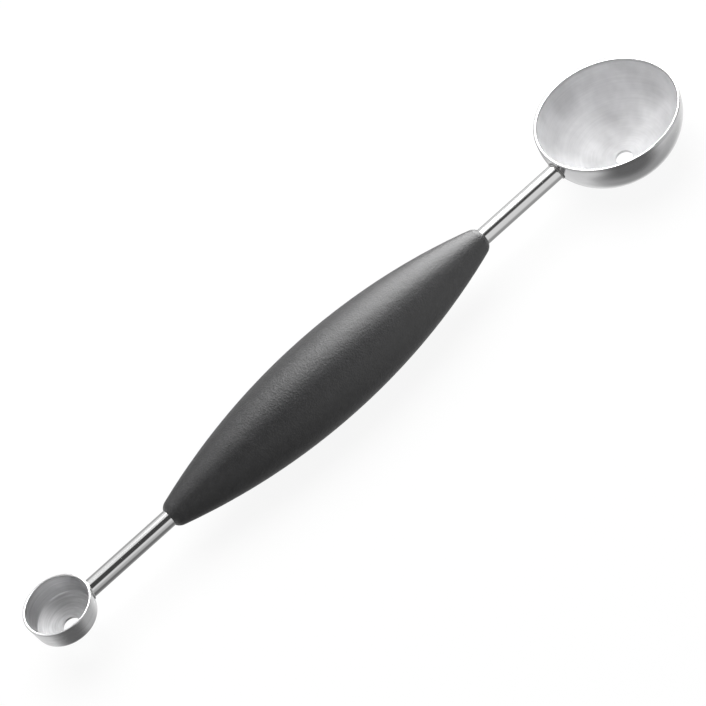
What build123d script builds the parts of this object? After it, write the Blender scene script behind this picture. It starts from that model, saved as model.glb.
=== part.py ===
from build123d import *
import math
import os

# Melon baller with a large bowl and a small cup on one handle, in millimetres.
# The origin is on the axis of the rods, halfway along the handle.
# +X points along the tool to the large bowl, and +Z is the way both bowls open.

# Handle, a body of revolution about the X axis
handle_length = 86.5
handle_diameter = 18.3
# The belly's arc meets each end plane at this diameter, before the end is rounded
handle_end_diameter = 4.9
handle_end_round = 2.4
sleeve_wall = 2.0

# Core under the sleeve, with ring grooves that the sleeve fills
core_length = 68.0
groove_count = 5
groove_pitch = 11.0
groove_width = 3.0
groove_depth = 1.0

# Rods, one to each bowl
rod_diameter = 3.7
rod_exposed_length = 20.5
rod_buried_length = 31.0
# Two flats on the buried end stop the rod turning, and the round head past them stops it pulling out
tang_thickness = 2.6
tang_length = 12.0
tang_head_length = 3.0

# Bowls
rim_above_axis = 3.15
# Width left flat on top of the rim, where its two edges are rounded
rim_flat = 0.06
drain_diameter = 3.8

# Inside of the large bowl: a straight wall below the rim, then an elliptical dish
large_mouth_diameter = 30.0
large_straight_wall = 1.25
large_dish_depth = 12.6
large_sheet = 0.6

# Inside of the small cup: a wall that narrows to the floor, then a floor crowned as part of a sphere
small_mouth_diameter = 13.5
small_floor_diameter = 12.4
small_wall_depth = 4.65
small_crown_depth = 2.85
small_knuckle_radius = 0.8
small_sheet = 0.5

# Weld beads round the rods
bead_size = 0.3
bead_round = 0.2

# Gap between pieces that are moulded or welded together, and the overrun of every cut
seat_gap = 0.02
overrun = 1.0

# Belly of the handle: one arc through both end planes and the middle
handle_radius = handle_diameter / 2
belly_rise = handle_radius - handle_end_diameter / 2
belly_radius = ((handle_length / 2) ** 2 + belly_rise ** 2) / (2 * belly_rise)
rod_radius = rod_diameter / 2


def belly_height(x, inset):
    """Distance from the axis to the belly's arc at x, with the arc moved in by inset."""
    return handle_radius - belly_radius + math.sqrt((belly_radius - inset) ** 2 - x ** 2)


def barrel_face(length, inset):
    """Half section of a barrel of the handle's curvature, on the XY plane above the X axis."""
    half = length / 2
    shoulder = belly_height(half, inset)
    outline = Polyline((-half, shoulder), (-half, 0), (half, 0), (half, shoulder))
    outline += ThreePointArc((half, shoulder), (0, belly_height(0, inset)), (-half, shoulder))
    return make_face(outline)


def ring_about_x(x, width, inner_radius, outer_radius):
    """Rectangular ring round the X axis, centred at x."""
    thickness = outer_radius - inner_radius
    section = Pos(x, inner_radius + thickness / 2) * Rectangle(width, thickness)
    return revolve(section, Axis.X)


def core_blank(gap):
    """The core with its grooves and without its bores, grown by gap."""
    blank = revolve(barrel_face(core_length + 2 * gap, sleeve_wall - gap), Axis.X)
    for index in range(groove_count):
        x = (index - (groove_count - 1) / 2) * groove_pitch
        floor = belly_height(x, sleeve_wall) - groove_depth + gap
        blank -= ring_about_x(x, groove_width - 2 * gap, floor, handle_radius)
    return blank


def large_section(skin, above):
    """Half section of the large bowl's inside, grown by skin and reaching above the rim by above."""
    radius = large_mouth_diameter / 2 + skin
    dish = large_dish_depth + skin
    bottom = -large_straight_wall - dish
    outline = Polyline((0, bottom), (0, above), (radius, above), (radius, -large_straight_wall))
    outline += EllipticalCenterArc((0, -large_straight_wall), radius, dish, arc_size=-90)
    return make_face(outline)


def small_section(skin, above):
    """Half section of the small cup's inside, grown by skin and reaching above the rim by above."""
    floor_radius = small_floor_diameter / 2
    narrowing = (small_mouth_diameter / 2 - floor_radius) / small_wall_depth
    rim_radius = small_mouth_diameter / 2 + skin * math.hypot(1, narrowing)
    depth = small_wall_depth + small_crown_depth
    low = -(depth + skin + overrun)
    wall = Polygon(
        (0, low),
        (rim_radius + low * narrowing, low),
        (rim_radius + above * narrowing, above),
        (0, above),
        align=None,
    )
    crown_radius = (floor_radius ** 2 + small_crown_depth ** 2) / (2 * small_crown_depth)
    section = wall & Pos(0, crown_radius - depth) * Circle(crown_radius + skin)
    knuckle = [corner for corner in section.vertices() if corner.X > 0 and corner.Y < 0]
    return fillet(knuckle, small_knuckle_radius + skin)


class Bowl:
    """A bowl with its rod and weld, towards +X where side is 1 and towards -X where it is -1."""

    def __init__(self, side, section, mouth_diameter, depth, sheet):
        self.side = side
        self.section = section
        self.depth = depth
        self.sheet = sheet
        self.reach = handle_length / 2 + rod_exposed_length + sheet + mouth_diameter / 2
        self.rim_centre = Pos(side * self.reach, 0, rim_above_axis)

    def blank(self, skin, above):
        """Solid of the bowl's inside, grown by skin and reaching above the rim by above."""
        return self.rim_centre * revolve(Plane.XZ * self.section(skin, above), Axis.Z)

    def shell(self):
        """The pressed sheet with its rounded rim and its drain hole."""
        pressed = self.blank(self.sheet, 0) - self.blank(0, overrun)
        rim = pressed.edges().filter_by(GeomType.CIRCLE).group_by(Axis.Z)[-1]
        drill = Cylinder(drain_diameter / 2, 2 * (self.depth + self.sheet + overrun))
        return fillet(rim, (self.sheet - rim_flat) / 2) - self.rim_centre * drill

    def rod(self, gap):
        """The rod from its buried head to the bowl's wall, grown by gap."""
        start = handle_length / 2 - rod_buried_length - gap
        from_end = (Align.CENTER, Align.CENTER, Align.MIN)
        bar = Cylinder(rod_radius + gap, self.reach - start, align=from_end)
        flat_start = tang_head_length + 2 * gap
        cutter = Box(rod_diameter, 2 * rod_diameter, tang_length - 2 * gap, align=from_end)
        cutter_offset = (tang_thickness + rod_diameter) / 2 + gap
        for turn in (0, 180):
            bar -= Rot(0, 0, turn) * Pos(cutter_offset, 0, flat_start) * cutter
        along = Plane(origin=(self.side * start, 0, 0), x_dir=(0, 0, 1), z_dir=(self.side, 0, 0))
        return along * bar - self.blank(self.sheet + seat_gap, overrun)

    def weld(self):
        """Rounded bead in the corner between the rod and the bowl's wall."""
        bead = rod_blank(bead_size) & self.blank(self.sheet + bead_size, 0)
        bead -= self.blank(self.sheet + seat_gap, overrun) + rod_blank(seat_gap)
        near = bead.solids().sort_by_distance((0, 0, 0))[0]
        wall = self.blank(self.sheet, overrun)
        crest = [edge for edge in near.edges() if is_on_crest(edge, wall)]
        return near.fillet(bead_round, crest)


def rod_blank(skin):
    """Endless bar along the X axis, as thick as the rods and grown by skin."""
    return Plane.YZ * Cylinder(rod_radius + skin, 2 * large.reach)


def is_on_crest(edge, wall):
    """True for an edge of the bead that is furthest from both the rod and the bowl's wall."""
    middle = edge.position_at(0.5)
    from_rod = math.hypot(middle.Y, middle.Z) - rod_radius
    nearly_all_share = 0.9
    return min(from_rod, wall.distance_to(middle)) > nearly_all_share * bead_size


large_depth = large_straight_wall + large_dish_depth
small_depth = small_wall_depth + small_crown_depth
large = Bowl(1, large_section, large_mouth_diameter, large_depth, large_sheet)
small = Bowl(-1, small_section, small_mouth_diameter, small_depth, small_sheet)


def handle_core():
    """Rigid core, moulded round the buried ends of both rods."""
    return core_blank(0) - large.rod(seat_gap) - small.rod(seat_gap)


def grip_sleeve():
    """Outside of the handle, moulded over the core and closed round the rods."""
    face = barrel_face(handle_length, 0)
    corners = [corner for corner in face.vertices() if corner.Y > 0]
    body = revolve(fillet(corners, handle_end_round), Axis.X)
    return body - core_blank(seat_gap) - rod_blank(seat_gap)


pieces = {
    "grip_sleeve": grip_sleeve(),
    "handle_core": handle_core(),
    "large_rod": large.rod(0),
    "small_rod": small.rod(0),
    "large_bowl": large.shell(),
    "small_bowl": small.shell(),
    "large_weld": large.weld(),
    "small_weld": small.weld(),
}

os.makedirs("parts", exist_ok=True)
for name, piece in pieces.items():
    export_step(piece, f"parts/{name}.step")
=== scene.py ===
from collections import namedtuple
import math
import bpy
from mathutils import Matrix, Vector


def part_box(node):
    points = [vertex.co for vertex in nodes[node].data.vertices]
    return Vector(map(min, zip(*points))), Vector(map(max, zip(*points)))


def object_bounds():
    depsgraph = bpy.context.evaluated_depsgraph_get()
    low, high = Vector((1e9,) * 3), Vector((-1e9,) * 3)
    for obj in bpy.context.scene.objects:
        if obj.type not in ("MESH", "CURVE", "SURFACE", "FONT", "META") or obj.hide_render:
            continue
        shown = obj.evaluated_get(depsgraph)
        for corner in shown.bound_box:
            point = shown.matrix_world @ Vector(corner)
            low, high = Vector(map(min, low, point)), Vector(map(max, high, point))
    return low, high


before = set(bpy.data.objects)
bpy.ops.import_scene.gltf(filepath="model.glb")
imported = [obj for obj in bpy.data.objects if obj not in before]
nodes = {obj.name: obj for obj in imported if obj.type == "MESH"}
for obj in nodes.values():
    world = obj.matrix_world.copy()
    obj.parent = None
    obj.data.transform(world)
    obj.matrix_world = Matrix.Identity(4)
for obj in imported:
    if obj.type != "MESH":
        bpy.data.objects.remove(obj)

# Melon baller with a large bowl and a small cup on one handle, in metres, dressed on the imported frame.
# +X points along the tool to the large bowl, and +Z is the way both bowls open.

millimetre = 0.001
cad_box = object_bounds()

# Camera, aimed at a point near the middle of the handle. It draws what lies between two shares of its
# distance.
camera_aim_mm = (6.53, -0.87, 1.06)
camera_distance_mm = 584.4
camera_azimuth = -17.19
camera_elevation = 46.03
camera_roll = -29.29
camera_lens_mm = 148.7
camera_sensor_mm = 36.0
nearest_share = 0.1
furthest_share = 100.0

# Large soft lamp overhead, a little behind the tool; shiny surfaces show the studio map in its place
lamp_azimuth = 150.0
lamp_elevation = 72.0
lamp_distance = 0.6
lamp_size = 0.64
lamp_radiance = 3.6

# Light that reaches matt surfaces from the rest of the studio, more from the bright side
bright_azimuth = 120.0
bright_elevation = 25.0
fill_dim = 0.12
fill_bright = 0.34

# Studio map, as brightness where white is 1: a gradient, and over it places of their own brightness
map_dim = 0.85
map_bright = 1.20
# Azimuth, elevation, radius, softness of the edge and brightness of each place, all angles in degrees
map_places = (
    (122.0, 48.0, 25.0, 4.0, 9.5),
    (125.0, 18.0, 27.0, 5.0, 9.5),
    (76.0, 4.0, 20.0, 8.0, 0.30),
    (-62.0, 12.0, 24.0, 10.0, 0.25),
    (-13.4, 56.3, 29.8, 4.0, 0.08),
    (-172.0, 8.0, 20.0, 10.0, 0.5),
    (168.0, -30.0, 18.0, 10.0, 0.45),
    (-22.0, -8.0, 26.0, 8.0, 0.25),
    (60.0, -70.0, 22.0, 16.0, 0.60),
    (0.0, -88.0, 18.0, 14.0, 0.40),
    (-68.0, -66.0, 13.0, 10.0, 0.45),
    (-20.0, -47.0, 28.0, 14.0, 0.18),
)

# Floor
floor_half_width = 4.0
floor_albedo = 0.9
floor_white = 1.03
floor_shadow_share = 0.12

# Grip plastic: a fine grain, and a coarser mottle that also varies the tone between two of its values
grains_per_metre = 2600.0
grain_roughness = 0.6
mottles_per_metre = 700.0
mottle_height_share = 0.6
grain_height_mm = 0.1
grain_strength = 0.8
grip_dark = (0.029, 0.029, 0.030, 1)
grip_light = (0.039, 0.039, 0.040, 1)
grip_dark_to = 0.3
grip_light_from = 0.7
grip_rough = (0.36, 0.46)
grip_specular = 0.65

# Core plastic, with the marks of its flow in the mould
flows_per_metre = 300.0
core_dark = (0.10, 0.10, 0.10, 1)
core_light = (0.14, 0.14, 0.14, 1)
core_rough = (0.5, 0.65)

# Rod steel, with drawing lines that are long in X
rod_lines_per_metre = (60.0, 5000.0, 5000.0)
rod_line_height_mm = 0.002
rod_line_strength = 0.5
rod_colour = (0.78, 0.78, 0.78, 1)
rod_rough = (0.07, 0.13)

# Weld steel
ripples_per_metre = 2200.0
ripple_height_mm = 0.06
ripple_strength = 0.6
weld_dark = (0.42, 0.42, 0.42, 1)
weld_light = (0.60, 0.60, 0.59, 1)
weld_rough = (0.3, 0.5)

# Finish of each side of the bowls. The inside of the large one is part matt, as blasted steel is.
# Turned lines run round the bowl's axis: they have a height in millimetres and a number to a
# millimetre. Shares are of the tone: what the lines, soft clouds and the painted shade in the band
# under the ground rim take away.
Finish = namedtuple(
    "Finish",
    "tone metal wall_rough floor_rough line_height lines_per_mm line_share cloud_share band_share",
)
# The last share of each finish is how much painted shade darkens the tone in the band under the rim
inside_finish = {
    "large_bowl": Finish(0.89, 0.5, 0.72, 0.82, 0.004, 3.0, 0.06, 0.20, 0.30),
    "small_bowl": Finish(0.69, 1.0, 0.44, 0.74, 0.016, 3.4, 0.24, 0.10, 0.20),
}
outside_finish = {
    "large_bowl": Finish(0.80, 1.0, 0.16, 0.16, 0.001, 3.0, 0.03, 0.06, 0.24),
    "small_bowl": Finish(0.80, 1.0, 0.20, 0.20, 0.006, 3.0, 0.14, 0.06, 0.14),
}
clouds_per_metre = 130.0
line_roughness = 0.6
# How far the lines and the clouds are stretched about their middle value before they darken the tone
line_contrast = 2
cloud_contrast = 3
# What the lines and the clouds add to the surface's roughness or take from it
line_drift_share = 0.07
cloud_drift_share = 0.1
# Steel is a touch bluer than grey
blue_share = 1.01
# Point on a bowl's axis, this far under its rim, that tells the inside of the sheet from the outside
middle_below_rim_mm = 1.0
# The rim is ground as bright as the outside, down to this far under its top, and under it a band
# of painted shade, darkest next to the ground rim, fades out further down
ground_rim_mm = 0.04
painted_rim_shade_mm = 0.9


class Graph:
    """The node tree of a material or a world, with short calls that add and link nodes."""

    def __init__(self, tree):
        self.tree = tree
        tree.nodes.clear()

    def add(self, kind, inputs=None, **settings):
        """A node with its settings, whose inputs are given values or linked to other nodes' outputs."""
        node = self.tree.nodes.new("ShaderNode" + kind)
        for name, value in settings.items():
            setattr(node, name, value)
        for name, value in (inputs or {}).items():
            if isinstance(value, bpy.types.NodeSocket):
                self.tree.links.new(value, node.inputs[name])
            else:
                node.inputs[name].default_value = value
        return node

    def math(self, operation, first, second=0.0):
        """Result of one sum on two numbers."""
        return self.add("Math", {0: first, 1: second}, operation=operation).outputs[0]

    def vector(self, operation, first, second):
        """Result of one sum on two vectors."""
        return self.add("VectorMath", {0: first, 1: second}, operation=operation).outputs[0]

    def dot(self, first, second):
        """Dot product of two vectors."""
        node = self.add("VectorMath", {0: first, 1: second}, operation="DOT_PRODUCT")
        return node.outputs["Value"]

    def length(self, vector):
        """Length of a vector."""
        return self.add("VectorMath", {0: vector}, operation="LENGTH").outputs["Value"]

    def parts(self, vector):
        """X, Y and Z of a vector."""
        return self.add("SeparateXYZ", {0: vector}).outputs

    def blend(self, share, first, second):
        """Number that goes from first to second as share goes from 0 to 1."""
        if first == second:
            return first
        node = self.add("Mix", {0: share, 2: first, 3: second}, data_type="FLOAT")
        return node.outputs[0]

    def spread(self, value, low, high, start=0.0, end=1.0, interpolation="LINEAR"):
        """Value mapped from start to end onto low to high, and held at low and high outside them."""
        names = {"Value": value, "From Min": start, "From Max": end, "To Min": low, "To Max": high}
        return self.add("MapRange", names, interpolation_type=interpolation).outputs[0]

    def stretch(self, value, times):
        """Value between 0 and 1, stretched about its middle."""
        return self.spread(value, (1 - times) / 2, (1 + times) / 2)

    def noise(self, vector, scale, detail=2.0, roughness=0.5):
        """Noise texture's value at a vector."""
        names = {"Vector": vector, "Scale": scale, "Detail": detail, "Roughness": roughness}
        return self.add("TexNoise", names).outputs[0]

    def ramp(self, value, dark, light, dark_to=0.0, light_from=1.0):
        """Colour that goes from dark to light as value goes from dark_to to light_from."""
        node = self.add("ValToRGB", {"Fac": value})
        low, high = node.color_ramp.elements
        low.position = dark_to
        low.color = dark
        high.position = light_from
        high.color = light
        return node.outputs[0]

    def bump(self, height, distance, strength=1.0):
        """Normal of the surface with a height on it, where 1 stands for the distance."""
        names = {"Height": height, "Distance": distance, "Strength": strength}
        return self.add("Bump", names).outputs[0]

    def finish_with(self, names):
        """Principled surface with its inputs, led to the material's output."""
        surface = self.add("BsdfPrincipled", names)
        self.add("OutputMaterial", {"Surface": surface.outputs[0]})


def direction(azimuth, elevation):
    """Unit vector towards an azimuth that is 0 at -Y and grows towards +X, and an elevation."""
    turn = math.radians(azimuth)
    rise = math.radians(elevation)
    level = math.cos(rise)
    return Vector((math.sin(turn) * level, -math.cos(turn) * level, math.sin(rise)))


def make_camera():
    """Camera at the photograph's viewing angle."""
    distance = camera_distance_mm * millimetre
    data = bpy.data.cameras.new("camera")
    data.lens = camera_lens_mm
    data.sensor_width = camera_sensor_mm
    data.clip_start = distance * nearest_share
    data.clip_end = distance * furthest_share
    camera = bpy.data.objects.new("camera", data)
    bpy.context.scene.collection.objects.link(camera)
    back = direction(camera_azimuth, camera_elevation)
    level_right = Vector((0, 0, 1)).cross(back).normalized()
    right = Matrix.Rotation(math.radians(camera_roll), 3, back) @ level_right
    up = back.cross(right)
    axes = Matrix((right, up, back)).transposed()
    place = Vector(camera_aim_mm) * millimetre + back * distance
    camera.matrix_world = Matrix.Translation(place) @ axes.to_4x4()
    bpy.context.scene.camera = camera


def make_lamp():
    """Large soft lamp overhead, whose power is pi times its radiance and its area."""
    data = bpy.data.lights.new("softbox", "AREA")
    data.shape = "DISK"
    data.size = lamp_size
    area = math.pi * (lamp_size / 2) ** 2
    data.energy = math.pi * lamp_radiance * area
    lamp = bpy.data.objects.new("softbox", data)
    bpy.context.scene.collection.objects.link(lamp)
    towards = direction(lamp_azimuth, lamp_elevation)
    lamp.location = towards * lamp_distance
    lamp.rotation_euler = towards.to_track_quat("Z", "Y").to_euler()
    lamp.visible_camera = False
    lamp.visible_glossy = False


def studio_map(graph, ray, towards_bright):
    """Brightness that shiny surfaces show: the gradient, with each place laid over those before it."""
    shown = graph.spread(towards_bright, map_dim, map_bright, start=-1.0)
    for azimuth, elevation, radius, softness, brightness in map_places:
        near = graph.dot(ray, direction(azimuth, elevation))
        edge = math.cos(math.radians(radius + softness))
        inside = math.cos(math.radians(radius - softness))
        share = graph.spread(near, 0.0, 1.0, edge, inside, "SMOOTHSTEP")
        shown = graph.blend(share, shown, brightness)
    return shown


def make_studio():
    """World: white where it is seen, a gradient on matt surfaces, and the studio map in shiny ones."""
    world = bpy.data.worlds.new("studio")
    bpy.context.scene.world = world
    world.use_nodes = True
    world.cycles.sampling_method = "NONE"
    graph = Graph(world.node_tree)
    ray = graph.add("TexCoord").outputs["Generated"]
    path = graph.add("LightPath").outputs
    towards_bright = graph.dot(ray, direction(bright_azimuth, bright_elevation))
    fill = graph.spread(towards_bright, fill_dim, fill_bright, start=-1.0)
    strength = graph.blend(path["Is Glossy Ray"], fill, studio_map(graph, ray, towards_bright))
    strength = graph.blend(path["Is Transmission Ray"], strength, 1.0)
    strength = graph.blend(path["Is Camera Ray"], strength, 1.0)
    background = graph.add("Background", {"Strength": strength})
    graph.add("OutputWorld", {"Surface": background.outputs[0]})


def new_material(name):
    """Empty material and its graph."""
    material = bpy.data.materials.new(name)
    material.use_nodes = True
    return material, Graph(material.node_tree)


def floor_material():
    """White that glows where it is seen and takes a share of the shadow, and is matt for other rays."""
    material, graph = new_material("floor_white")
    path = graph.add("LightPath").outputs
    matt = graph.add("BsdfDiffuse", {"Color": (floor_albedo, floor_albedo, floor_albedo, 1)})
    glow = graph.add("Emission", {"Strength": floor_white})
    seen = graph.add("MixShader", {0: floor_shadow_share, 1: glow.outputs[0], 2: matt.outputs[0]})
    surface = graph.add("MixShader", {0: path["Is Camera Ray"], 1: matt.outputs[0], 2: seen.outputs[0]})
    graph.add("OutputMaterial", {"Surface": surface.outputs[0]})
    return material


def make_floor():
    """Plain white floor at the tool's lowest point."""
    mesh = bpy.data.meshes.new("floor")
    half = floor_half_width
    height = cad_box[0].z
    corners = [(-half, -half, height), (half, -half, height), (half, half, height), (-half, half, height)]
    mesh.from_pydata(corners, [], [(0, 1, 2, 3)])
    mesh.materials.append(floor_material())
    floor = bpy.data.objects.new("floor", mesh)
    bpy.context.scene.collection.objects.link(floor)
    floor.visible_glossy = False


def grip_material():
    """Charcoal plastic with a fine spark-eroded grain."""
    material, graph = new_material("grip_plastic")
    place = graph.add("TexCoord").outputs["Object"]
    grain = graph.noise(place, grains_per_metre, detail=3.0, roughness=grain_roughness)
    mottle = graph.noise(place, mottles_per_metre)
    height = graph.math("ADD", grain, graph.math("MULTIPLY", mottle, mottle_height_share))
    graph.finish_with({
        "Base Color": graph.ramp(mottle, grip_dark, grip_light, grip_dark_to, grip_light_from),
        "Roughness": graph.spread(grain, *grip_rough),
        "Normal": graph.bump(height, grain_height_mm * millimetre, grain_strength),
        "Specular IOR Level": grip_specular,
    })
    return material


def core_material():
    """Plain moulded plastic inside the grip."""
    material, graph = new_material("core_plastic")
    place = graph.add("TexCoord").outputs["Object"]
    flow = graph.noise(place, flows_per_metre, detail=3.0)
    graph.finish_with({
        "Base Color": graph.ramp(flow, core_dark, core_light),
        "Roughness": graph.spread(flow, *core_rough),
    })
    return material


def rod_material():
    """Polished bar with faint drawing lines along it."""
    material, graph = new_material("rod_steel")
    place = graph.add("TexCoord").outputs["Object"]
    lines = graph.noise(graph.vector("MULTIPLY", place, rod_lines_per_metre), 1.0)
    graph.finish_with({
        "Base Color": rod_colour,
        "Metallic": 1.0,
        "Roughness": graph.spread(lines, *rod_rough),
        "Normal": graph.bump(lines, rod_line_height_mm * millimetre, rod_line_strength),
    })
    return material


def weld_material():
    """Brushed weld metal, a little duller than the bar."""
    material, graph = new_material("weld_steel")
    place = graph.add("TexCoord").outputs["Object"]
    ripple = graph.noise(place, ripples_per_metre, detail=3.0)
    graph.finish_with({
        "Base Color": graph.ramp(ripple, weld_dark, weld_light),
        "Metallic": 1.0,
        "Roughness": graph.spread(ripple, *weld_rough),
        "Normal": graph.bump(ripple, ripple_height_mm * millimetre, ripple_strength),
    })
    return material


def rim_zones(graph, height):
    """Where the ground rim is, and the band of painted shade under it that fades out, at a height over
    the middle.
    """
    ground_from = (middle_below_rim_mm - ground_rim_mm) * millimetre
    shade_from = (middle_below_rim_mm - painted_rim_shade_mm) * millimetre
    ground = graph.math("GREATER_THAN", height, ground_from)
    shade_fading = graph.spread(height, 0.0, 1.0, shade_from, ground_from)
    # Painted shade: the band under the ground rim is darkest next to it and fades out further down
    return ground, graph.blend(ground, shade_fading, 0.0)


def turned_lines(graph, place, lines_per_mm):
    """Noise drawn out into rings round the bowl's axis, at a place from the middle."""
    parts = graph.parts(place)
    radius = graph.length(graph.vector("MULTIPLY", place, (1, 1, 0)))
    per_metre = graph.math("DIVIDE", lines_per_mm, millimetre)
    ring_place = {
        0: graph.math("MULTIPLY", radius, per_metre),
        1: graph.math("MULTIPLY", parts[2], per_metre),
        2: graph.math("ARCTAN2", parts[1], parts[0]),
    }
    rings = graph.add("CombineXYZ", ring_place).outputs[0]
    return graph.noise(rings, 1.0, roughness=line_roughness)


def bowl_colour(graph, finish, lines, cloud, painted_rim_shade):
    """The finish's tone, less what the lines, the clouds and the painted shade under the rim take away.
    """
    patterns = (
        (finish.line_share, graph.stretch(lines, line_contrast)),
        (finish.cloud_share, graph.stretch(cloud, cloud_contrast)),
        # Painted shade: a darker band of tone just under the rim
        (finish.band_share, painted_rim_shade),
    )
    tone = finish.tone
    for share, pattern in patterns:
        left = graph.math("SUBTRACT", 1.0, graph.math("MULTIPLY", share, pattern))
        tone = graph.math("MULTIPLY", tone, left)
    blue = graph.math("MULTIPLY", tone, blue_share)
    return graph.add("CombineColor", {0: tone, 1: tone, 2: blue}).outputs[0]


def bowl_roughness(graph, finish, lines, cloud, normal):
    """Roughness from the wall's to the floor's as the surface lies level, with a slight drift."""
    level = graph.math("ABSOLUTE", graph.parts(normal)[2])
    line_drift = graph.spread(lines, 1 - line_drift_share, 1 + line_drift_share)
    drift = graph.math("ADD", line_drift, graph.spread(cloud, -cloud_drift_share, cloud_drift_share))
    return graph.math("MULTIPLY", graph.blend(level, finish.wall_rough, finish.floor_rough), drift)


def bowl_material(node):
    """Pressed steel with turned lines round the bowl's own axis, satin inside and brighter outside."""
    material, graph = new_material(node + "_steel")
    low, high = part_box(node)
    middle = ((low.x + high.x) / 2, (low.y + high.y) / 2, high.z - middle_below_rim_mm * millimetre)
    source = graph.add("TexCoord").outputs
    place = graph.vector("SUBTRACT", source["Object"], middle)
    ground, painted_rim_shade = rim_zones(graph, graph.parts(place)[2])
    faces_out = graph.math("GREATER_THAN", graph.dot(source["Normal"], place))
    outer = graph.math("MAXIMUM", ground, faces_out)
    pairs = zip(inside_finish[node], outside_finish[node])
    finish = Finish(*[graph.blend(outer, inside, outside) for inside, outside in pairs])
    lines = turned_lines(graph, place, finish.lines_per_mm)
    cloud = graph.noise(place, clouds_per_metre, detail=3.0)
    graph.finish_with({
        "Base Color": bowl_colour(graph, finish, lines, cloud, painted_rim_shade),
        "Metallic": finish.metal,
        "Roughness": bowl_roughness(graph, finish, lines, cloud, source["Normal"]),
        "Normal": graph.bump(lines, graph.math("MULTIPLY", finish.line_height, millimetre)),
    })
    return material


def dress(node, material):
    """Gives a node's object one material in place of its plain one."""
    piece = nodes[node]
    piece.data.materials.clear()
    piece.data.materials.append(material)


dress("grip_sleeve", grip_material())
dress("handle_core", core_material())
rod_steel = rod_material()
weld_steel = weld_material()
for side in ("large", "small"):
    dress(side + "_rod", rod_steel)
    dress(side + "_bowl", bowl_material(side + "_bowl"))
    dress(side + "_weld", weld_steel)

make_camera()
make_lamp()
make_studio()
make_floor()
bpy.context.scene.view_settings.view_transform = "Standard"
